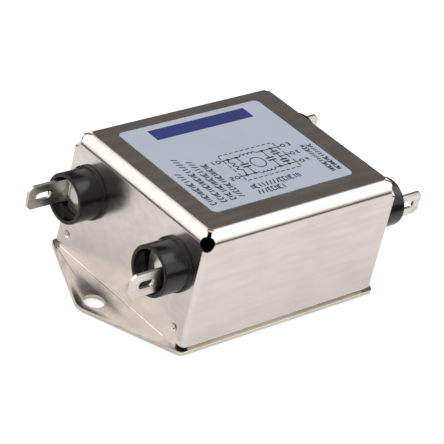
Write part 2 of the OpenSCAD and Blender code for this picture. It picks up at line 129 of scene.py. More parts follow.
def add_block(name: str, low: Point, high: Point) -> bpy.types.Object:
    """Adds a block between two corners.

    Args:
        name: the piece's name.
        low: its lowest corner, in millimetres.
        high: its highest corner.

    Returns:
        The new object, at the origin, with its place in its mesh.
    """
    clear_selection()
    centre = [(a + b) / 2 * MM for a, b in zip(low, high)]
    size = [(b - a) * MM for a, b in zip(low, high)]
    bpy.ops.mesh.primitive_cube_add(size=1, location=centre, scale=size)
    return settle(name)


def add_rod(
    name: str, radius: float, start: Point, end: Point, sides: int = 64
) -> bpy.types.Object:
    """Adds a round rod between the centres of its two ends.

    Args:
        name: the piece's name.
        radius: its radius, in millimetres.
        start: the centre of one end.
        end: the centre of the other.
        sides: the number of its sides.

    Returns:
        The new object, with its place in its mesh.
    """
    clear_selection()
    along = Vector(end) - Vector(start)
    bpy.ops.mesh.primitive_cylinder_add(
        vertices=sides,
        radius=radius * MM,
        depth=along.length * MM,
        location=(Vector(start) + Vector(end)) / 2 * MM,
        rotation=along.to_track_quat("Z", "Y").to_euler(),
    )
    return settle(name)


def settle(name: str) -> bpy.types.Object:
    """Names the active object and moves its place into its mesh.

    Args:
        name: the name it gets.

    Returns:
        The object.
    """
    piece = bpy.context.view_layer.objects.active
    piece.name = name
    piece.data.name = name
    activate(piece)
    bpy.ops.object.transform_apply(location=True, rotation=True, scale=True)
    return piece


def cut(piece: bpy.types.Object, tool: bpy.types.Object, operation: str = "DIFFERENCE") -> None:
    """Cuts, joins or crosses a piece with a tool, which is used up.

    Args:
        piece: the piece that stays.
        tool: the other solid.
        operation: DIFFERENCE, UNION or INTERSECT.
    """
    activate(piece)
    step = piece.modifiers.new("cut", "BOOLEAN")
    step.operation = operation
    step.solver = "EXACT"
    step.object = tool
    bpy.ops.object.modifier_apply(modifier=step.name)
    bpy.data.objects.remove(tool)


def tidy(piece: bpy.types.Object) -> None:
    """Merges doubled points, clears needless edges and turns all faces outwards.

    Args:
        piece: a closed mesh.
    """
    with editing(piece):
        bpy.ops.mesh.select_all(action="SELECT")
        bpy.ops.mesh.remove_doubles(threshold=0.002 * MM)
        bpy.ops.mesh.dissolve_limited(angle_limit=math.radians(0.2))
        bpy.ops.mesh.normals_make_consistent(inside=False)


def roll_edges(
    piece: bpy.types.Object,
    width: float,
    segments: int = 2,
    angle: float = 35,
    flat: bool = True,
) -> None:
    """Rounds the sharp edges of a piece and shades it smooth between them.

    Args:
        piece: the piece.
        width: the radius of the rounding, in millimetres.
        segments: the number of its steps.
        angle: the least angle of a sharp edge, in degrees.
        flat: True to keep the large faces flat up to the rounding.
    """
    activate(piece)
    step = piece.modifiers.new("rolled_edges", "BEVEL")
    step.width = width * MM
    step.segments = segments
    step.limit_method = "ANGLE"
    step.angle_limit = math.radians(angle)
    step.use_clamp_overlap = True
    step.harden_normals = False
    bpy.ops.object.modifier_apply(modifier=step.name)
    bpy.ops.object.shade_smooth_by_angle(angle=SMOOTH_ANGLE)
    if not flat:
        return
    flats = piece.modifiers.new("flat_faces", "WEIGHTED_NORMAL")
    flats.mode = "FACE_AREA"
    flats.weight = 100
    flats.keep_sharp = True
    bpy.ops.object.modifier_apply(modifier=flats.name)


def copy_turned(
    piece: bpy.types.Object, name: str, turn: Point, place: Point
) -> bpy.types.Object:
    """Copies a piece with a mesh of its own, turned about the origin and then moved.

    Args:
        piece: the piece that is copied.
        name: the copy's name.
        turn: its turns about X, Y and Z, in degrees.
        place: where the origin goes, in millimetres.

    Returns:
        The copy, with its place in its mesh.
    """
    twin = piece.copy()
    twin.data = piece.data.copy()
    bpy.context.scene.collection.objects.link(twin)
    twin.rotation_euler = Euler([math.radians(a) for a in turn])
    twin.location = Vector(place) * MM
    activate(twin)
    return settle(name)


def hand_over(
    piece: bpy.types.Object, material: bpy.types.Material, slot: str, *nodes: str
) -> bpy.types.Object:
    """Dresses a finished piece and gives it to the part's body.

    Args:
        piece: the finished piece.
        material: its material.
        slot: the name of a material slot; it is not used.
        nodes: the CAD nodes that it stands for.

    Returns:
        The piece.
    """
    piece.data.materials.clear()
    piece.data.materials.append(material)
    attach(piece, BODY)
    if nodes:
        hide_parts(*nodes)
    log.info("%s: %d faces", piece.name, len(piece.data.polygons))
    return piece


# ---- Finishes ----------------------------------------------------------------------------

SPOT_BAND = (0.62, 0.74)
PATCH_BAND = (0.42, 0.68)
PATCH_SHARE = 0.12
GRAIN_BAND = (0.35, 0.7)


class Nodes:
    """Adds nodes to one node tree and joins their sockets."""

    def __init__(self, tree: bpy.types.NodeTree) -> None:
        """Takes the tree to work on.

        Args:
            tree: a material's, a world's or a group's node tree.
        """
        self.tree = tree

    def add(self, kind: str, **settings: object) -> bpy.types.Node:
        """Adds a node.

        Args:
            kind: its type name in Blender.
            settings: its properties, such as operation.

        Returns:
            The node.
        """
        node = self.tree.nodes.new(kind)
        for key, value in settings.items():
            setattr(node, key, value)
        return node

    def join(self, *pairs: tuple[bpy.types.NodeSocket, bpy.types.NodeSocket]) -> None:
        """Joins output sockets to input sockets.

        Args:
            pairs: (output, input) pairs.
        """
        for source, target in pairs:
            self.tree.links.new(source, target)

    def noise(
        self, vector: bpy.types.NodeSocket, scale: float, detail: float = 3.0
    ) -> bpy.types.NodeSocket:
        """Adds a noise texture.

        Args:
            vector: the coordinates that it reads.
            scale: its scale, per metre.
            detail: its octaves.

        Returns:
            Its Fac socket.
        """
        node = self.add("ShaderNodeTexNoise")
        node.inputs["Scale"].default_value = scale
        node.inputs["Detail"].default_value = detail
        self.join((vector, node.inputs["Vector"]))
        return node.outputs["Fac"]

    def spread(
        self, value: bpy.types.NodeSocket, low: float, high: float, to_low: float, to_high: float
    ) -> bpy.types.NodeSocket:
        """Maps a value smoothly from one range to another.

        Args:
            value: the value.
            low: the start of its range.
            high: the end of its range.
            to_low: what the start becomes.
            to_high: what the end becomes.

        Returns:
            The mapped value.
        """
        node = self.add("ShaderNodeMapRange", interpolation_type="SMOOTHSTEP")
        for key, number in (
            ("From Min", low),
            ("From Max", high),
            ("To Min", to_low),
            ("To Max", to_high),
        ):
            node.inputs[key].default_value = number
        self.join((value, node.inputs["Value"]))
        return node.outputs["Result"]

    def product(
        self, first: bpy.types.NodeSocket, second: bpy.types.NodeSocket | float
    ) -> bpy.types.NodeSocket:
        """Multiplies two values.

        Args:
            first: a socket.
            second: a socket or a number.

        Returns:
            The product.
        """
        node = self.add("ShaderNodeMath", operation="MULTIPLY")
        self.join((first, node.inputs[0]))
        if isinstance(second, float):
            node.inputs[1].default_value = second
        else:
            self.join((second, node.inputs[1]))
        return node.outputs["Value"]

    def blend(
        self,
        factor: bpy.types.NodeSocket | float,
        first: bpy.types.NodeSocket | Colour,
        second: bpy.types.NodeSocket | Colour,
    ) -> bpy.types.NodeSocket:
        """Mixes two colours.

        Args:
            factor: how much of the second colour.
            first: a colour or a socket.
            second: a colour or a socket.

        Returns:
            The mixed colour.
        """
        node = self.add("ShaderNodeMix", data_type="RGBA")
        for key, value in ((0, factor), (6, first), (7, second)):
            if isinstance(value, tuple):
                node.inputs[key].default_value = (*value, 1.0)
            elif isinstance(value, (int, float)):
                node.inputs[key].default_value = value
            else:
                self.join((value, node.inputs[key]))
        return node.outputs[2]


def new_group(name: str, inputs: dict[str, float], outputs: dict[str, str]) -> bpy.types.NodeTree:
    """Makes an empty shader group with a Vector input, number inputs and outputs.

    Args:
        name: the group's name.
        inputs: its number inputs, with their defaults.
        outputs: its outputs, with their socket types.

    Returns:
        The group's node tree.
    """
    tree = bpy.data.node_groups.new(name, "ShaderNodeTree")
    tree.interface.new_socket("Vector", in_out="INPUT", socket_type="NodeSocketVector")
    for key, value in inputs.items():
        socket = tree.interface.new_socket(key, in_out="INPUT", socket_type="NodeSocketFloat")
        socket.default_value = value
    for key, kind in outputs.items():
        tree.interface.new_socket(key, in_out="OUTPUT", socket_type=kind)
    return tree


class Effects:
    """The shader groups that more than one finish uses."""

    def __init__(self) -> None:
        """Builds each group once."""
        self.relief = self._relief()
        self.specks = self._specks()

    @staticmethod
    def _relief() -> bpy.types.NodeTree:
        """Builds the group for a slow wave and a fine stretched grain in a surface."""
        tree = new_group(
            "surface_relief",
            {
                "Wave Scale": 60.0,
                "Wave Height": 0.0,
                "Grain Scale": 900.0,
                "Grain Height": 0.0,
                "Stretch X": 1.0,
                "Stretch Z": 1.0,
            },
            {"Normal": "NodeSocketVector", "Grain": "NodeSocketFloat", "Wave": "NodeSocketFloat"},
        )
        kit = Nodes(tree)
        given = kit.add("NodeGroupInput").outputs
        result = kit.add("NodeGroupOutput").inputs
        stretch = kit.add("ShaderNodeCombineXYZ")
        stretch.inputs["Y"].default_value = 1.0
        stretched = kit.add("ShaderNodeVectorMath", operation="MULTIPLY")
        wave = kit.add("ShaderNodeTexNoise")
        grain = kit.add("ShaderNodeTexNoise")
        wave.inputs["Detail"].default_value = 1.0
        grain.inputs["Detail"].default_value = 4.0
        slow = kit.add("ShaderNodeBump")
        fine = kit.add("ShaderNodeBump")
        for bump in (slow, fine):
            bump.inputs["Strength"].default_value = 1.0
            bump.inputs["Distance"].default_value = MM
        kit.join(
            (given["Stretch X"], stretch.inputs["X"]),
            (given["Stretch Z"], stretch.inputs["Z"]),
            (given["Vector"], stretched.inputs[0]),
            (stretch.outputs["Vector"], stretched.inputs[1]),
            (given["Vector"], wave.inputs["Vector"]),
            (given["Wave Scale"], wave.inputs["Scale"]),
            (stretched.outputs["Vector"], grain.inputs["Vector"]),
            (given["Grain Scale"], grain.inputs["Scale"]),
            (kit.product(wave.outputs["Fac"], given["Wave Height"]), slow.inputs["Height"]),
            (kit.product(grain.outputs["Fac"], given["Grain Height"]), fine.inputs["Height"]),
            (slow.outputs["Normal"], fine.inputs["Normal"]),
            (fine.outputs["Normal"], result["Normal"]),
            (grain.outputs["Fac"], result["Grain"]),
            (wave.outputs["Fac"], result["Wave"]),
        )
        return tree

    @staticmethod
    def _specks() -> bpy.types.NodeTree:
        """Builds the group for sparse small spots and the cloudy patches that they sit in."""
        tree = new_group(
            "specks",
            {"Scale": 700.0, "Amount": 0.5},
            {"Spots": "NodeSocketFloat", "Patches": "NodeSocketFloat"},
        )
        kit = Nodes(tree)
        given = kit.add("NodeGroupInput").outputs
        result = kit.add("NodeGroupOutput").inputs
        spot = kit.add("ShaderNodeTexNoise")
        spot.inputs["Detail"].default_value = 2.0
        patch = kit.add("ShaderNodeTexNoise")
        patch.inputs["Detail"].default_value = 2.0
        spots = kit.spread(spot.outputs["Fac"], *SPOT_BAND, 0.0, 1.0)
        patches = kit.spread(patch.outputs["Fac"], *PATCH_BAND, 0.0, 1.0)
        kit.join(
            (given["Vector"], spot.inputs["Vector"]),
            (given["Scale"], spot.inputs["Scale"]),
            (given["Vector"], patch.inputs["Vector"]),
            (kit.product(given["Scale"], PATCH_SHARE), patch.inputs["Scale"]),
            (kit.product(kit.product(spots, patches), given["Amount"]), result["Spots"]),
            (patches, result["Patches"]),
        )
        return tree


@dataclass(frozen=True)
class Finish:
    """A surface: two shades, a gloss, a relief and sparse specks.

    The second shade lies in cloudy patches and in the grain. Heights are millimetres, scales are
    per metre.
    """

    name: str
    colour: Colour
    shade: Colour
    metallic: float = 0.0
    roughness: tuple[float, float] = (0.4, 0.5)
    wave_scale: float = 60.0
    wave_height: float = 0.0
    grain_scale: float = 900.0
    grain_height: float = 0.0
    stretch: tuple[float, float] = (1.0, 1.0)
    grain_shade: float = 0.3
    speck_colour: Colour = (0.10, 0.07, 0.05)
    speck_scale: float = 900.0
    specks: float = 0.0
    patch_shade: float = 0.3
    coat: float = 0.0
    specular: float = 0.5

    def build(self, effects: Effects) -> bpy.types.Material:
        """Makes the material.

        Args:
            effects: the shared shader groups.

        Returns:
            The material.
        """
        material = bpy.data.materials.new(self.name)
        material.use_nodes = True
        kit = Nodes(material.node_tree)
        shader = material.node_tree.nodes["Principled BSDF"]
        place = kit.add("ShaderNodeTexCoord").outputs["Object"]
        relief = kit.add("ShaderNodeGroup", node_tree=effects.relief)
        for key, value in (
            ("Wave Scale", self.wave_scale),
            ("Wave Height", self.wave_height),
            ("Grain Scale", self.grain_scale),
            ("Grain Height", self.grain_height),
            ("Stretch X", self.stretch[0]),
            ("Stretch Z", self.stretch[1]),
        ):
            relief.inputs[key].default_value = value
        specks = kit.add("ShaderNodeGroup", node_tree=effects.specks)
        specks.inputs["Scale"].default_value = self.speck_scale
        specks.inputs["Amount"].default_value = self.specks
        kit.join((place, relief.inputs["Vector"]), (place, specks.inputs["Vector"]))
        patches = kit.spread(specks.outputs["Patches"], 0.0, 1.0, 0.0, self.patch_shade)
        clouded = kit.blend(patches, self.colour, self.shade)
        streaks = kit.spread(relief.outputs["Grain"], *GRAIN_BAND, 0.0, self.grain_shade)
        streaked = kit.blend(streaks, clouded, self.shade)
        coloured = kit.blend(specks.outputs["Spots"], streaked, self.speck_colour)
        gloss = kit.spread(relief.outputs["Grain"], 0.3, 0.7, *self.roughness)
        kit.join(
            (coloured, shader.inputs["Base Color"]),
            (gloss, shader.inputs["Roughness"]),
            (relief.outputs["Normal"], shader.inputs["Normal"]),
        )
        shader.inputs["Metallic"].default_value = self.metallic
        shader.inputs["Coat Weight"].default_value = self.coat
        shader.inputs["Coat Roughness"].default_value = 0.08
        shader.inputs["Specular IOR Level"].default_value = self.specular
        return material


class Surface(Enum):
    """Every finish of the part."""

    CASE_STEEL = Finish(
        "plated_case_steel", (0.69, 0.65, 0.628), (0.575, 0.54, 0.522), 1.0, (0.20, 0.27),
        wave_scale=70.0, wave_height=0.05, grain_scale=420.0, grain_height=0.0012,
        stretch=(0.18, 1.6), grain_shade=0.35, specks=0.1, patch_shade=0.25,
    )
    PLATE_STEEL = Finish(
        "plated_base_steel", (0.68, 0.64, 0.59), (0.52, 0.48, 0.44), 1.0, (0.18, 0.26),
        wave_scale=60.0, wave_height=0.03, grain_scale=500.0, grain_height=0.001,
        stretch=(0.5, 1.0), grain_shade=0.3, specks=0.35, patch_shade=0.3,
    )
    COLLAR_BLACK = Finish(
        "moulded_collar_black", (0.004, 0.004, 0.005), (0.007, 0.006, 0.007), 0.0, (0.16, 0.22),
        wave_scale=160.0, wave_height=0.01, specular=0.32,
    )
    BLADE_METAL = Finish(
        "tinned_blade_metal", (0.72, 0.70, 0.66), (0.50, 0.48, 0.45), 1.0, (0.26, 0.38),
        wave_scale=250.0, wave_height=0.02, grain_scale=900.0, grain_height=0.002,
        stretch=(0.15, 1.0), grain_shade=0.5, specks=0.25, patch_shade=0.45,
    )
    RIVET_METAL = Finish(
        "bright_rivet_metal", (0.93, 0.92, 0.91), (0.70, 0.69, 0.68), 0.35, (0.35, 0.5),
        wave_scale=500.0, wave_height=0.12, grain_scale=1800.0, grain_height=0.02, grain_shade=0.7,
    )
    LABEL_FILM = Finish(
        "satin_label_film", (0.355, 0.392, 0.462), (0.32, 0.355, 0.425), 0.0, (0.42, 0.52),
        wave_scale=60.0, wave_height=0.01, grain_scale=2500.0, grain_height=0.001,
        grain_shade=0.25, patch_shade=0.25,
    )
    INK_BLUE = Finish(
        "label_blue_ink", (0.016, 0.027, 0.15), (0.012, 0.020, 0.11), roughness=(0.4, 0.5)
    )
    INK_BLACK = Finish(
        "label_black_ink", (0.018, 0.018, 0.022), (0.03, 0.03, 0.035), roughness=(0.5, 0.6)
    )
    WASHER_BOARD = Finish(
        "pressed_washer_board", (0.55, 0.42, 0.22), (0.42, 0.30, 0.14), roughness=(0.5, 0.7)
    )
    TAG_METAL = Finish(
        "tinned_tag_metal", (0.74, 0.72, 0.68), (0.55, 0.53, 0.50), 1.0, (0.28, 0.40)
    )
    TRAY_PLASTIC = Finish(
        "natural_tray_plastic", (0.80, 0.77, 0.68), (0.70, 0.66, 0.56), roughness=(0.4, 0.55)
    )
    BOARD_LAMINATE = Finish(
        "board_laminate", (0.55, 0.40, 0.18), (0.40, 0.28, 0.11), roughness=(0.45, 0.6),
        grain_scale=1200.0, stretch=(0.2, 1.0), grain_shade=0.6,
    )
    CORE_GREY = Finish(
        "coated_core_grey", (0.07, 0.07, 0.075), (0.04, 0.04, 0.04), roughness=(0.5, 0.7),
        grain_height=0.01,
    )
    DIVIDER_WHITE = Finish(
        "divider_white", (0.80, 0.80, 0.77), (0.70, 0.70, 0.66), roughness=(0.4, 0.5)
    )
    WINDING_COPPER = Finish(
        "enamelled_winding_copper", (0.60, 0.22, 0.08), (0.42, 0.13, 0.04), 0.6, (0.18, 0.3),
        coat=0.6,
    )
    X_CAPACITOR = Finish(
        "x_capacitor_yellow", (0.72, 0.50, 0.05), (0.60, 0.40, 0.03), roughness=(0.25, 0.4)
    )
    Y_CAPACITOR = Finish(
        "y_capacitor_blue", (0.05, 0.16, 0.42), (0.03, 0.11, 0.32), roughness=(0.25, 0.4)
    )
    RESISTOR = Finish(
        "lacquered_resistor_tan", (0.56, 0.40, 0.20), (0.45, 0.31, 0.14), roughness=(0.35, 0.5)
    )
    LINK_METAL = Finish(
        "tinned_link_wire", (0.75, 0.74, 0.71), (0.56, 0.55, 0.52), 1.0, (0.25, 0.38)
    )


class Paints:
    """Builds each finish once, when it is first asked for."""

    def __init__(self) -> None:
        """Starts with the shared groups and no material."""
        self._effects = Effects()
        self._made: dict[Surface, bpy.types.Material] = {}

    def of(self, surface: Surface) -> bpy.types.Material:
        """Gives a finish's material.

        Args:
            surface: the finish.

        Returns:
            Its material.
        """
        if surface not in self._made:
            self._made[surface] = surface.value.build(self._effects)
        return self._made[surface]


# ---- Case --------------------------------------------------------------------------------


@dataclass
class Case:
    """The folded cover, the flanged base plate under it, and their seams."""

    length: float = 61.8
    width: float = 49.4
    height: float = 31.6
    sheet: float = 0.8
    bend: float = 2.8
    bend_profile: float = 0.42
    corner: float = 1.2
    foot_bend: float = 1.1
    foot_fillet: float = 0.35
    fillet_near: float = 18.0
    plate: float = 1.0
    shoulder: float = 0.4
    lip: float = 0.4
    plate_corner: float = 0.9
    hole_pitch: float = 75.0
    hole_d: float = 5.2
    ear_r: float = 4.7
    relief_d: float = 3.4
    relief_drop: float = 2.6
    slit_w: float = 0.9
    slit_flare: float = 1.0
    notch_h: float = 0.9
    notch_w: float = 2.4
    clinch_inset: float = 4.2
    clinch_z: float = 4.4
    clinch_d: float = 2.1
    clinch_depth: float = 0.9
    cover_edge: float = 0.10
    plate_edge: float = 0.13
    fillet_sunk: float = 0.1
    fillet_gap: float = 0.005

    @property
    def end_x(self) -> float:
        """Distance of the end walls' outer faces from the middle."""
        return self.length / 2

    @property
    def side_y(self) -> float:
        """Distance of the long walls' outer faces from the middle."""
        return self.width / 2

    @property
    def top_z(self) -> float:
        """Height of the top panel."""
        return self.plate + self.height

    def cover(self) -> bpy.types.Object:
        """Models the cover: a block with rolled bends, hollowed out and cut at its corners."""
        shell = self._rounded_block("case_cover", 0.0)
        cut(shell, self._rounded_block("hollow_tool", self.sheet))
        for sx in (-1, 1):
            for sy in (-1, 1):
                cut(shell, self._keyhole(sx, sy))
                cut(shell, self._foot_notch(sx, sy))
                cut(shell, self._clinch(sx, sy))
        tidy(shell)
        roll_edges(shell, self.cover_edge, 2, 40)
        return shell

    def _rounded_block(self, name: str, inset: float) -> bpy.types.Object:
        """Models the case as a block whose bends, corners and feet have their own radii.

        Args:
            name: the piece's name.
            inset: how far its faces lie inside the outer faces; the tool for the hollow is as deep
                as the sheet is thick, and open below.

        Returns:
            The block.
        """
        foot = self.plate - (1.0 if inset else 0.0)
        low = (-self.end_x + inset, -self.side_y + inset, foot)
        high = (self.end_x - inset, self.side_y - inset, self.top_z - inset)
        block = add_block(name, low, high)
        widest = self.bend - inset
        weights = block.data.attributes.new("bevel_weight_edge", "FLOAT", "EDGE")
        for edge in block.data.edges:
            a, b = (block.data.vertices[i].co / MM for i in edge.vertices)
            if abs(a.z - b.z) > 1:
                radius = self.corner - inset
            elif a.z > self.plate + 1:
                radius = widest
            elif not inset and abs(a.x - b.x) > 1:
                radius = self.foot_bend
            else:
                radius = 0.0
            weights.data[edge.index].value = radius / widest
        step = block.modifiers.new("bends", "BEVEL")
        step.width = widest * MM
        step.segments = 12
        step.profile = self.bend_profile
        step.limit_method = "WEIGHT"
        activate(block)
        bpy.ops.object.modifier_apply(modifier=step.name)
        return block

    def _keyhole(self, sx: int, sy: int) -> bpy.types.Object:
        """Makes the tool for a corner's relief hole and the slit above it."""
        x, y = sx * (self.end_x - self.bend), sy * (self.side_y - self.bend)
        z = self.top_z - self.relief_drop
        out = 2 * self.bend * math.sqrt(0.5)
        hole = add_rod(
            "relief_tool", self.relief_d / 2, (x, y, z), (x + sx * out, y + sy * out, z), 40
        )
        slit = add_block(
            "slit_tool",
            (0, -self.slit_w / 2, 0),
            (2 * self.bend, self.slit_w / 2, 2 * self.relief_drop),
        )
        half = self.slit_flare * math.sqrt(2) / 2
        flare = add_block("flare_tool", (0, -half, -half), (2 * self.bend, half, half))
        flare.rotation_euler.x = math.pi / 4
        flare = settle("flare_tool")
        flare.location.z = self.relief_drop * MM
        flare = settle("flare_tool")
        cut(slit, flare, "UNION")
        slit.rotation_euler.z = math.atan2(sy, sx)
        slit.location = Vector((x, y, z)) * MM
        slit = settle("slit_tool")
        cut(hole, slit, "UNION")
        return hole

    def _foot_notch(self, sx: int, sy: int) -> bpy.types.Object:
        """Makes the tool for the notch at the foot of an upright corner."""
        xs = sorted((sx * (self.end_x - self.notch_w), sx * (self.end_x + 1)))
        ys = sorted((sy * (self.side_y - self.notch_w), sy * (self.side_y + 1)))
        return add_block(
            "notch_tool", (xs[0], ys[0], self.plate - 1), (xs[1], ys[1], self.plate + self.notch_h)
        )

    def _clinch(self, sx: int, sy: int) -> bpy.types.Object:
        """Makes the tool for the tapered dimple that clinches an end wall to the tab behind it."""
        y, z = sy * (self.side_y - self.clinch_inset), self.plate + self.clinch_z
        clear_selection()
        bpy.ops.mesh.primitive_cone_add(
            vertices=24,
            radius1=self.clinch_d * 0.2 * MM,
            radius2=self.clinch_d * 0.5 * MM,
            depth=self.clinch_depth * MM,
            location=(sx * (self.end_x - self.clinch_depth / 2 + 0.001) * MM, y * MM, z * MM),
            rotation=(0, sx * math.pi / 2, 0),
        )
        return settle("clinch_tool")

    def base_plate(self) -> bpy.types.Object:
        """Models the base plate: the hull of a block and two round ears, with drilled holes."""
        hole_x = self.hole_pitch / 2
        shoulder_x = self.end_x + self.shoulder
        plate_y = self.side_y + self.lip
        plate = add_block(
            "flanged_base", (-shoulder_x, -plate_y, 0), (shoulder_x, plate_y, self.plate)
        )
        ears = [
            add_rod("ear", self.ear_r, (s * hole_x, 0, 0), (s * hole_x, 0, self.plate), 96)
            for s in (-1, 1)
        ]
        clear_selection()
        for ear in ears:
            ear.select_set(True)
        plate.select_set(True)
        bpy.context.view_layer.objects.active = plate
        bpy.ops.object.join()
        with editing(plate):
            bpy.ops.mesh.select_all(action="SELECT")
            bpy.ops.mesh.convex_hull()
        with editing(plate, "EDGE"):
            pick_edges(
                plate,
                lambda a, b: abs(a.z - b.z) > 0.5
                and abs(a.y) > plate_y - 0.1
                and (a - b).xy.length < 0.01,
            )
            bpy.ops.mesh.bevel(offset=self.plate_corner * MM, segments=6, affect="EDGES")
        for x in (-hole_x, hole_x):
            cut(plate, add_rod("drill", self.hole_d / 2, (x, 0, -1), (x, 0, 2), 64))
        tidy(plate)
        roll_edges(plate, self.plate_edge, 3, 40, flat=False)
        return plate

    def foot_fillet_piece(self, name: str, sx: int) -> bpy.types.Object:
        """Models the small hollow curve that runs from an end wall's foot out onto the ear.

        Args:
            name: the piece's name.
            sx: -1 for the input end, 1 for the output end.

        Returns:
            The piece.
        """
        r, run = self.foot_fillet, self.side_y - self.notch_w
        sunk = self.fillet_sunk
        xs = sorted((sx * (self.end_x - sunk), sx * (self.end_x + r)))
        piece = add_block(
            name, (xs[0], -self.fillet_near, self.plate - sunk), (xs[1], run, self.plate + r)
        )
        x, z = sx * (self.end_x + r + self.fillet_gap), self.plate + r + self.fillet_gap
        cut(piece, add_rod("hollow_tool", r, (x, -run - 1, z), (x, run + 1, z), 48))
        tidy(piece)
        activate(piece)
        bpy.ops.object.shade_smooth_by_angle(angle=SMOOTH_ANGLE)
        return piece

    def build(self, paints: Paints) -> None:
        """Builds and dresses the case.

        Args:
            paints: the finishes.
        """
        hand_over(self.cover(), paints.of(Surface.CASE_STEEL), "case_steel", "cover")
        steel = paints.of(Surface.PLATE_STEEL)
        hand_over(self.base_plate(), steel, "case_steel", "base_plate")
        for name, sx in (("input_foot_fillet", -1), ("output_foot_fillet", 1)):
            hand_over(self.foot_fillet_piece(name, sx), steel, "case_steel")


# ---- Label -------------------------------------------------------------------------------

Stroke = tuple[float, float, float, float]


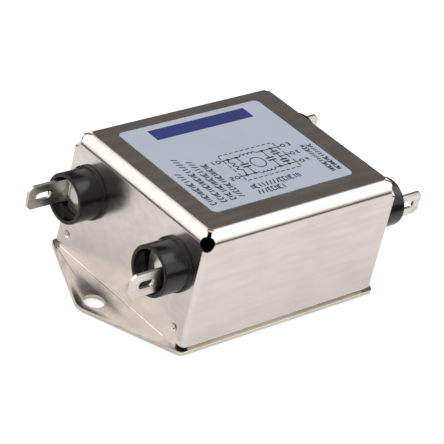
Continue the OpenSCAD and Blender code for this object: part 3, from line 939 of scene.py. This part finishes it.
@dataclass
class Label:
    """The film label on the top panel, its blue bar and its plain circuit print."""

    top_z: float = 32.6
    length: float = 44.8
    width: float = 36.2
    centre_x: float = -0.4
    centre_y: float = 1.1
    film: float = 0.12
    ink: float = 0.03
    corner: float = 1.4
    bar: tuple[float, float, float, float] = (-15.1, 13.1, 15.7, 17.3)
    line_w: float = 0.28
    bold_w: float = 0.48
    dot_sides: int = 14
    dash_pitch: float = 1.75
    dash_from: float = 0.14
    dash_to: float = 0.80
    figure_size: float = 0.58
    figure_weight: float = 1.15
    mark_w: float = 0.33
    mark_pitch: float = 0.72
    mark_fill: float = 0.58

    def film_piece(self) -> bpy.types.Object:
        """Models the film: a thin block with round corners."""
        half_x, half_y = self.length / 2, self.width / 2
        low = (self.centre_x - half_x, self.centre_y - half_y, self.top_z)
        high = (self.centre_x + half_x, self.centre_y + half_y, self.top_z + self.film)
        film = add_block("label_film", low, high)
        with editing(film, "EDGE"):
            pick_edges(film, lambda a, b: abs(a.z - b.z) > self.film / 2)
            bpy.ops.mesh.bevel(offset=self.corner * MM, segments=8, affect="EDGES")
        roll_edges(film, 0.03, 1, 40)
        return film

    def _print_piece(
        self, name: str, strokes: list[tuple[Stroke, float]], dots: list[Point]
    ) -> bpy.types.Object:
        """Models printed strokes and dots as thin solids that lie on the film.

        Args:
            name: the piece's name.
            strokes: (x0, y0, x1, y1) with a width, each a straight bar.
            dots: (x, y, radius) of round dots.

        Returns:
            The piece.
        """
        low = self.top_z + self.film
        mid = (low + self.ink / 2) * MM
        clear_selection()
        self._lay_bar(strokes[0], mid)
        piece = settle(name)
        with editing(piece):
            for stroke in strokes[1:]:
                self._lay_bar(stroke, mid)
            for x, y, radius in dots:
                bpy.ops.mesh.primitive_cylinder_add(
                    vertices=self.dot_sides,
                    radius=radius * MM,
                    depth=self.ink * MM,
                    location=(x * MM, y * MM, mid),
                )
        return piece

    def _lay_bar(self, stroke: tuple[Stroke, float], height: float) -> None:
        """Adds one straight bar of ink.

        Args:
            stroke: (x0, y0, x1, y1) with a width, in millimetres.
            height: the height of its middle, in metres.
        """
        (x0, y0, x1, y1), w = stroke
        span = Vector((x1 - x0, y1 - y0))
        bpy.ops.mesh.primitive_cube_add(
            size=1,
            location=((x0 + x1) / 2 * MM, (y0 + y1) / 2 * MM, height),
            rotation=(0, 0, math.atan2(span.y, span.x)),
            scale=(span.length * MM, w * MM, self.ink * MM),
        )

    def blue_bar(self) -> bpy.types.Object:
        """Models the bare blue bar."""
        x0, y0, x1, y1 = self.bar
        mid = (y0 + y1) / 2
        return self._print_piece("label_blue_bar", [((x0, mid, x1, mid), y1 - y0)], [])

    def _path(self, points: list[tuple[float, float]]) -> list[tuple[Stroke, float]]:
        """Gives the bars that join a row of points."""
        return [((*a, *b), self.line_w) for a, b in zip(points, points[1:])]

    def _ring(self, x: float, y: float, radius: float, sides: int) -> list[tuple[Stroke, float]]:
        """Gives a ring as short bars."""
        step = math.tau / sides
        angles = [i * step for i in range(sides + 1)]
        return self._path([(x + radius * math.cos(a), y + radius * math.sin(a)) for a in angles])

    def _coil(self, x0: float, x1: float, y: float, side: int) -> list[tuple[Stroke, float]]:
        """Gives a coil symbol: four half-round humps on one side of a line."""
        humps, steps = 4, 6
        r = (x1 - x0) / humps / 2
        points = []
        for hump in range(humps):
            for step in range(steps + 1):
                angle = math.pi * (1 - step / steps)
                centre = x0 + (2 * hump + 1) * r
                points.append((centre + r * math.cos(angle), y + side * r * math.sin(angle)))
        return self._path(points)

    def _capacitor(
        self, x: float, y: float, half: float, gap: float, top: float, foot: float
    ) -> list[tuple[Stroke, float]]:
        """Gives a capacitor symbol: two bold plates between two leads."""
        return [
            ((x - half, y + gap, x + half, y + gap), self.bold_w),
            ((x - half, y - gap, x + half, y - gap), self.bold_w),
            ((x, y + gap, x, top), self.line_w),
            ((x, y - gap, x, foot), self.line_w),
        ]

    def circuit(self) -> bpy.types.Object:
        """Models the circuit print: the choke, the capacitors, the resistor and the terminals."""
        line, foot, mid = -0.35, -7.45, -3.95
        w = self.line_w
        strokes = [
            ((-6.9, line, -0.5, line), w), ((4.5, line, 12.9, line), w),
            ((-6.9, foot, -0.5, foot), w), ((4.5, foot, 12.9, foot), w),
            ((9.3, mid, 12.9, mid), w),
        ]
        strokes += self._coil(-0.5, 4.5, line, 1) + self._coil(-0.5, 4.5, foot, -1)
        strokes += self._capacitor(-1.8, mid, 1.25, 0.5, line, foot)
        strokes += self._capacitor(6.4, mid, 1.25, 0.5, line, foot)
        strokes += self._capacitor(9.3, -2.15, 1.1, 0.45, line, mid)
        strokes += self._capacitor(9.3, -5.75, 1.1, 0.45, mid, foot)
        zigzag = [(-4.4, line)] + [
            (-4.4 + (0.7 if i % 2 else -0.7), -1.6 - 0.72 * i) for i in range(6)
        ] + [(-4.4, foot)]
        strokes += self._path(zigzag)
        strokes += self._ring(2.2, mid, 2.0, 28)
        for x, y in ((-7.5, line), (-7.5, foot), (13.4, line), (13.4, mid), (13.4, foot)):
            strokes += self._ring(x, y, 0.55, 12)
        strokes += self._dashes(-6.0, 1.75, 11.5, 1.75) + self._dashes(-6.0, -9.4, 11.5, -9.4)
        strokes += self._dashes(-6.0, -9.4, -6.0, 1.75) + self._dashes(11.5, -9.4, 11.5, 1.75)
        dots = [(x, y, 0.42) for x in (-4.4, -1.8, 6.4, 9.3) for y in (line, foot)]
        dots += [(9.3, mid, 0.3), (11.5, mid, 0.3)]
        return self._print_piece("label_circuit", strokes, dots)

    def _dashes(self, x0: float, y0: float, x1: float, y1: float) -> list[tuple[Stroke, float]]:
        """Gives a dashed line between two points."""
        start, span = Vector((x0, y0)), Vector((x1 - x0, y1 - y0))
        count = max(2, round(span.length / self.dash_pitch))
        dashes = []
        for i in range(count):
            a = start + span * ((i + self.dash_from) / count)
            b = start + span * ((i + self.dash_to) / count)
            dashes.append(((a.x, a.y, b.x, b.y), self.line_w))
        return dashes

    def _figure(
        self, x: float, y: float, strokes: tuple[Stroke, ...]
    ) -> list[tuple[Stroke, float]]:
        """Gives a terminal figure, drawn on a cell one unit wide and two high, about a point."""
        size = self.figure_size
        return [
            (
                (x + a * size, y + b * size, x + c * size, y + d * size),
                self.line_w * self.figure_weight,
            )
            for a, b, c, d in strokes
        ]

    def terminal_figures(self) -> bpy.types.Object:
        """Models the plain figures beside the circuit's terminals."""
        one = ((0, -1, 0, 1), (-0.4, 0.6, 0, 1))
        two = (
            (-0.6, 1, 0.6, 1), (0.6, 1, 0.6, 0), (0.6, 0, -0.6, 0),
            (-0.6, 0, -0.6, -1), (-0.6, -1, 0.6, -1),
        )
        three = ((-0.6, 1, 0.6, 1), (0.6, 1, 0.6, -1), (-0.4, 0, 0.6, 0), (-0.6, -1, 0.6, -1))
        four = ((-0.6, 1, -0.6, 0), (-0.6, 0, 0.6, 0), (0.4, 1, 0.4, -1))
        earth = ((-0.5, -1, -0.5, 1), (-0.5, 1, 0.5, 1), (-0.5, 0, 0.3, 0), (-0.5, -1, 0.5, -1))
        strokes = self._figure(-9.1, -0.35, one) + self._figure(-9.1, -7.45, two)
        strokes += self._figure(15.2, -0.35, three) + self._figure(15.2, -3.95, earth)
        strokes += self._figure(15.2, -7.45, four)
        return self._print_piece("label_terminal_figures", strokes, [])

    def _mark_row(
        self, x: float, y: float, length: float, height: float, upright: bool, seed: int
    ) -> list[tuple[Stroke, float]]:
        """Gives a row of small plain marks, as long as a line of print and as tall.

        Args:
            x: the row's start.
            y: the row's middle line, or its start where it runs upright.
            length: how far it runs.
            height: how tall its marks are.
            upright: True where it runs along Y.
            seed: where its rhythm starts.

        Returns:
            The marks.
        """
        rhythm = (0, 2, 1, 0, 2, 2, 3, 1, 0, 2, 3, 0, 1, 2, 0, 3, 2, 1)
        half, pitch, w = height / 2, height * self.mark_pitch, self.mark_w
        marks: list[Stroke] = []
        for i in range(int(length / pitch)):
            kind = rhythm[(i * 5 + seed) % len(rhythm)]
            a, b = i * pitch, i * pitch + pitch * self.mark_fill
            if kind == 0:
                marks += [(a, -half, a, half), (b, -half, b, half)]
            elif kind == 1:
                marks += [(a, -half, b, half)]
            elif kind == 2:
                marks += [(a, half, b, half), (a, -half, b, -half), (a, -half, a, half)]
            elif kind == 3:
                marks += [((a + b) / 2, -half, (a + b) / 2, half)]
        placed = []
        for a, b, c, d in marks:
            if upright:
                placed.append(((x - b, y + a, x - d, y + c), w))
            else:
                placed.append(((x + a, y + b, x + c, y + d), w))
        return placed

    def mark_rows(self) -> bpy.types.Object:
        """Models the rows of plain marks where a label carries its small print."""
        strokes = self._mark_row(-6.9, -12.1, 16.3, 1.55, False, 0)
        strokes += self._mark_row(-6.9, -14.4, 9.0, 1.55, False, 7)
        for x, start, length, seed in (
            (-20.6, -14.3, 14.2, 1), (-17.4, -14.3, 20.4, 4),
            (-14.5, -14.3, 18.2, 9), (-11.8, -14.3, 15.3, 12),
        ):
            strokes += self._mark_row(x, start, length, 1.5, True, seed)
        for x, start, length, seed in ((18.0, -14.0, 12.3, 3), (20.0, -14.0, 12.3, 11)):
            strokes += self._mark_row(x, start, length, 1.2, True, seed)
        return self._print_piece("label_mark_rows", strokes, [])

    def build(self, paints: Paints) -> None:
        """Builds and dresses the label.

        Args:
            paints: the finishes.
        """
        ink = paints.of(Surface.INK_BLACK)
        hand_over(self.film_piece(), paints.of(Surface.LABEL_FILM), "label_film", "label")
        hand_over(self.blue_bar(), paints.of(Surface.INK_BLUE), "label_film")
        hand_over(self.circuit(), ink, "label_film")
        hand_over(self.terminal_figures(), ink, "label_film")
        hand_over(self.mark_rows(), ink, "label_film")


# ---- Terminals ---------------------------------------------------------------------------


class Place(Enum):
    """Where each terminal is: its side in X and in Y, and the turn that takes it there."""

    ONE = ("1", -1, 1, (0.0, 180.0, 0.0))
    TWO = ("2", -1, -1, (0.0, 0.0, 180.0))
    THREE = ("3", 1, 1, (0.0, 0.0, 0.0))
    FOUR = ("4", 1, -1, (180.0, 0.0, 0.0))

    @property
    def number(self) -> str:
        """The terminal's number."""
        return self.value[0]

    @property
    def turn(self) -> Point:
        """The turn, in degrees, from terminal three to this one."""
        return self.value[3]

    def spot(self, end_x: float, term_y: float, axis_z: float) -> Point:
        """Gives the point where the terminal's axis meets the end wall.

        Args:
            end_x: the end wall's distance from the middle.
            term_y: the axis's distance from the middle.
            axis_z: its height.

        Returns:
            The point, in millimetres.
        """
        return (self.value[1] * end_x, self.value[2] * term_y, axis_z)


@dataclass
class Terminals:
    """The collars and push-on blades of the four insulated terminals, and the earth blade."""

    end_x: float = 30.9
    term_y: float = 16.0
    axis_z: float = 20.1
    collar_d: float = 12.5
    bore_d: float = 10.5
    collar_l: float = 7.6
    floor: float = 2.9
    flange_d: float = 13.4
    flange_t: float = 1.0
    blade_w: float = 6.3
    blade_t: float = 0.8
    blade_reach: float = 8.2
    earth_reach: float = 9.6
    offset: float = 3.4
    bend_r: float = 0.4
    tip_chamfer: float = 1.1
    slot_l: float = 4.4
    slot_w: float = 2.0
    slot_back: float = 4.5
    foot_edge: float = 4.4
    foot_play: float = 0.1
    collar_edge: float = 0.28
    blade_edge: float = 0.12

    def collar(self) -> bpy.types.Object:
        """Models a collar as by hand: flange, barrel, mouth and bore drawn out of one disc."""
        piece = add_rod("collar", self.flange_d / 2, (0, 0, 0), (self.flange_t, 0, 0), 96)
        step = (self.flange_d - self.collar_d) / 2
        wall = (self.collar_d - self.bore_d) / 2
        with editing(piece):
            pick_faces(piece, lambda centre, normal: normal.x > 0.99)
            bpy.ops.mesh.inset(thickness=step * MM)
            bpy.ops.mesh.extrude_region_move(
                TRANSFORM_OT_translate={"value": ((self.collar_l - self.flange_t) * MM, 0, 0)}
            )
            bpy.ops.mesh.inset(thickness=wall * MM)
            bpy.ops.mesh.extrude_region_move(
                TRANSFORM_OT_translate={"value": ((self.floor - self.collar_l) * MM, 0, 0)}
            )
        roll_edges(piece, self.collar_edge, 4, 40)
        return piece

    def blade(self, name: str, seat: float, tip: float) -> bpy.types.Object:
        """Models a push-on blade: a strip turned up through a bend, with a round foot and a slot.

        Args:
            name: the piece's name.
            seat: the seat of its foot, from the wall.
            tip: the reach of its tip, from the wall.

        Returns:
            The blade in terminal three's frame, with the axis through the origin.
        """
        t, half_w = self.blade_t, self.blade_w / 2
        bend_y = self.offset - t / 2 - self.bend_r
        bend_x = seat + t + self.bend_r
        strip = add_block(name, (seat, -1.0, -half_w), (seat + t, bend_y, half_w))
        with editing(strip):
            pick_faces(strip, lambda centre, normal: normal.y > 0.99)
            bpy.ops.mesh.spin(
                steps=8, angle=math.pi / 2, center=(bend_x * MM, bend_y * MM, 0), axis=(0, 0, 1)
            )
        reach = max((v.co.x for v in strip.data.vertices)) / MM
        with editing(strip):
            pick_faces(strip, lambda centre, normal: normal.x > 0.9 and centre.x > reach - 0.05)
            bpy.ops.mesh.extrude_region_move(
                TRANSFORM_OT_translate={"value": ((tip - reach) * MM, 0, 0)}
            )
        with editing(strip, "EDGE"):
            pick_edges(
                strip,
                lambda a, b: min(a.x, b.x) > tip - 0.05 and abs(a.y - b.y) > t / 2,
            )
            bpy.ops.mesh.bevel(offset=self.tip_chamfer * MM, segments=1, affect="EDGES")
        foot = add_rod("foot", self.bore_d / 2 - self.foot_play, (seat, 0, 0), (seat + t, 0, 0), 64)
        for y, side in ((bend_y, 1), (-self.foot_edge, -1)):
            with editing(foot):
                bpy.ops.mesh.select_all(action="SELECT")
                bpy.ops.mesh.bisect(
                    plane_co=(0, y * MM, 0), plane_no=(0, side, 0), use_fill=True, clear_outer=True
                )
        cut(strip, foot, "UNION")
        cut(strip, self._slot_tool(tip))
        tidy(strip)
        roll_edges(strip, self.blade_edge, 2, 40)
        return strip

    def _slot_tool(self, tip: float) -> bpy.types.Object:
        """Makes the tool for the slot: a block with rounded ends that passes through the blade."""
        half_l, half_w = self.slot_l / 2, self.slot_w / 2
        x = tip - self.slot_back
        tool = add_block(
            "slot_tool",
            (x - half_l, self.offset - 2, -half_w),
            (x + half_l, self.offset + 2, half_w),
        )
        with editing(tool, "EDGE"):
            pick_edges(tool, lambda a, b: abs(a.y - b.y) > 1)
            bpy.ops.mesh.bevel(offset=(half_w - 0.01) * MM, segments=8, affect="EDGES")
        return tool

    def build(self, paints: Paints) -> None:
        """Builds and dresses the terminals.

        Args:
            paints: the finishes.
        """
        collar = self.collar()
        blade = self.blade("blade", self.floor, self.collar_l + self.blade_reach)
        for place in Place:
            spot = place.spot(self.end_x, self.term_y, self.axis_z)
            hand_over(
                copy_turned(collar, f"terminal_collar_{place.number}", place.turn, spot),
                paints.of(Surface.COLLAR_BLACK), "collar_black", f"collar_{place.number}",
            )
            hand_over(
                copy_turned(blade, f"push_on_blade_{place.number}", place.turn, spot),
                paints.of(Surface.BLADE_METAL), "blade_metal", f"blade_{place.number}",
            )
        earth = self.blade("earth_strip", 0.0, self.earth_reach)
        hand_over(
            copy_turned(earth, "push_on_blade_earth", (0, 0, 0), (self.end_x, 0, self.axis_z)),
            paints.of(Surface.BLADE_METAL), "blade_metal", "earth_blade",
        )
        for spare in (collar, blade, earth):
            bpy.data.objects.remove(spare)


# ---- Inside and small hardware -------------------------------------------------------------


@dataclass
class DressedNodes:
    """The CAD nodes that stay as they are, and the finish that each gets."""

    finishes: dict[str, Surface] = field(
        default_factory=lambda: {
            "terminal_rivets": Surface.RIVET_METAL,
            "earth_rivet": Surface.RIVET_METAL,
            **{f"inner_washer_{n}": Surface.WASHER_BOARD for n in range(1, 5)},
            **{f"solder_tag_{n}": Surface.TAG_METAL for n in range(1, 5)},
            "earth_solder_tag": Surface.TAG_METAL,
            "insulating_tray": Surface.TRAY_PLASTIC,
            "circuit_board": Surface.BOARD_LAMINATE,
            "ring_core": Surface.CORE_GREY,
            "core_divider": Surface.DIVIDER_WHITE,
            "line_winding": Surface.WINDING_COPPER,
            "neutral_winding": Surface.WINDING_COPPER,
            "input_x_capacitor": Surface.X_CAPACITOR,
            "output_x_capacitor": Surface.X_CAPACITOR,
            "line_y_capacitor": Surface.Y_CAPACITOR,
            "neutral_y_capacitor": Surface.Y_CAPACITOR,
            "bleed_resistor": Surface.RESISTOR,
            **{f"link_wire_{n}": Surface.LINK_METAL for n in range(1, 5)},
            "earth_link_wire": Surface.LINK_METAL,
        }
    )

    def build(self, paints: Paints) -> None:
        """Dresses the nodes.

        Args:
            paints: the finishes.
        """
        for name, surface in self.finishes.items():
            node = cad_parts[name]
            for slot in node.material_slots:
                slot.material = paints.of(surface)
            log.info("%s: dressed", name)


# ---- Studio --------------------------------------------------------------------------------


@dataclass(frozen=True)
class Card:
    """A soft-edged patch of the studio's surroundings, as seen from the part."""

    azimuth: float
    elevation: float
    inner: float
    outer: float
    light: Colour

    @property
    def direction(self) -> Vector:
        """The direction of its middle; azimuth is measured from +X towards +Y."""
        a, e = math.radians(self.azimuth), math.radians(self.elevation)
        return Vector((math.cos(e) * math.cos(a), math.cos(e) * math.sin(a), math.sin(e)))


@dataclass
class Studio:
    """The camera, the pale floor and the surroundings that light the part."""

    camera_at: Point = (-342.29, -308.384, 293.805)
    camera_axes: tuple[Point, Point, Point] = (
        (0.743181, 0.213562, -0.634092),
        (-0.636878, 0.516298, -0.572558),
        (0.205104, 0.829354, 0.519716),
    )
    lens: float = 180.745
    sensor: float = 36.0
    clip: tuple[float, float] = (0.01, 20.0)
    sky_low: Colour = (0.85, 0.85, 0.86)
    sky_high: Colour = (1.1, 1.09, 1.07)
    sky_rise: tuple[float, float] = (0.0, 0.8)
    horizon: Colour = (0.12, 0.11, 0.10)
    horizon_rise: tuple[float, float] = (0.10, 0.17)
    cards: tuple[Card, ...] = (
        Card(135.0, 35.0, 32.0, 45.0, (1.6, 1.58, 1.55)),
        Card(-45.0, 35.0, 32.0, 45.0, (1.6, 1.58, 1.55)),
        Card(-20.0, 46.0, 10.0, 20.0, (3.2, 3.15, 3.1)),
        Card(42.0, 26.0, 23.0, 27.0, (0.125, 0.113, 0.107)),
    )
    floor_size: float = 3000.0
    floor_colour: Colour = (0.86, 0.85, 0.84)
    floor_drop: float = 0.02
    floor_lift: float = 0.3
    floor_far: Colour = (0.10, 0.09, 0.085)
    floor_fade: tuple[float, float] = (0.085, 0.15)

    def camera(self) -> None:
        """Places the camera."""
        data = bpy.data.cameras.new("view")
        data.lens = self.lens
        data.sensor_width = self.sensor
        data.clip_start, data.clip_end = self.clip
        camera = bpy.data.objects.new("view", data)
        bpy.context.scene.collection.objects.link(camera)
        axes = Matrix(self.camera_axes).to_4x4()
        camera.matrix_world = Matrix.Translation(Vector(self.camera_at) * MM) @ axes
        bpy.context.scene.camera = camera

    def floor(self) -> None:
        """Lays the floor, brighter to the camera so that it meets the white surroundings.

        Mirrored in the part, it darkens a short way out, as a bench does past a sheet of paper.
        """
        clear_selection()
        bpy.ops.mesh.primitive_plane_add(
            size=self.floor_size * MM, location=(0, 0, -self.floor_drop * MM)
        )
        floor = settle("studio_floor")
        material = bpy.data.materials.new("studio_floor")
        material.use_nodes = True
        kit = Nodes(material.node_tree)
        material.node_tree.nodes.remove(material.node_tree.nodes["Principled BSDF"])
        output = material.node_tree.nodes["Material Output"]
        matte = kit.add("ShaderNodeBsdfDiffuse")
        glow = kit.add("ShaderNodeEmission")
        seen = kit.add("ShaderNodeLightPath")
        away = kit.add("ShaderNodeVectorMath", operation="LENGTH")
        kit.join((kit.add("ShaderNodeTexCoord").outputs["Object"], away.inputs[0]))
        far = kit.spread(away.outputs["Value"], *self.floor_fade, 0.0, 1.0)
        mirrored = kit.product(far, seen.outputs["Is Glossy Ray"])
        shade = kit.blend(mirrored, self.floor_colour, self.floor_far)
        kit.join((shade, matte.inputs["Color"]))
        lift = kit.product(seen.outputs["Is Camera Ray"], self.floor_lift)
        both = kit.add("ShaderNodeAddShader")
        kit.join(
            (lift, glow.inputs["Strength"]),
            (matte.outputs["BSDF"], both.inputs[0]),
            (glow.outputs["Emission"], both.inputs[1]),
            (both.outputs["Shader"], output.inputs["Surface"]),
        )
        floor.data.materials.append(material)

    def surroundings(self) -> None:
        """Lights the part with a soft sky that holds the studio's bright and dark cards."""
        world = bpy.data.worlds.new("studio")
        bpy.context.scene.world = world
        world.use_nodes = True
        kit = Nodes(world.node_tree)
        background = world.node_tree.nodes["Background"]
        direction = kit.add("ShaderNodeTexCoord").outputs["Generated"]
        height = kit.add("ShaderNodeSeparateXYZ")
        kit.join((direction, height.inputs[0]))
        rise = kit.spread(height.outputs["Z"], *self.sky_rise, 0.0, 1.0)
        light = kit.blend(rise, self.sky_low, self.sky_high)
        for card in self.cards:
            toward = kit.add("ShaderNodeVectorMath", operation="DOT_PRODUCT")
            toward.inputs[1].default_value = card.direction
            kit.join((direction, toward.inputs[0]))
            mask = kit.spread(
                toward.outputs["Value"],
                math.cos(math.radians(card.outer)),
                math.cos(math.radians(card.inner)),
                0.0,
                1.0,
            )
            light = kit.blend(mask, light, card.light)
        low = kit.spread(height.outputs["Z"], *self.horizon_rise, 1.0, 0.0)
        light = kit.blend(low, light, self.horizon)
        seen = kit.add("ShaderNodeLightPath").outputs["Is Camera Ray"]
        kit.join((kit.blend(seen, light, (1.0, 1.0, 1.0)), background.inputs["Color"]))
        background.inputs["Strength"].default_value = 1.0

    def build(self) -> None:
        """Sets up the studio."""
        bpy.context.scene.view_settings.view_transform = "Standard"
        self.camera()
        self.floor()
        self.surroundings()


def main() -> None:
    """Builds the studio and every piece of the part, in order."""
    logging.basicConfig(level=logging.INFO, format="%(name)s: %(message)s")
    paints = Paints()
    Studio().build()
    Case().build(paints)
    Label().build(paints)
    Terminals().build(paints)
    DressedNodes().build(paints)
    clear_selection()


if __name__ == "__main__":
    main()
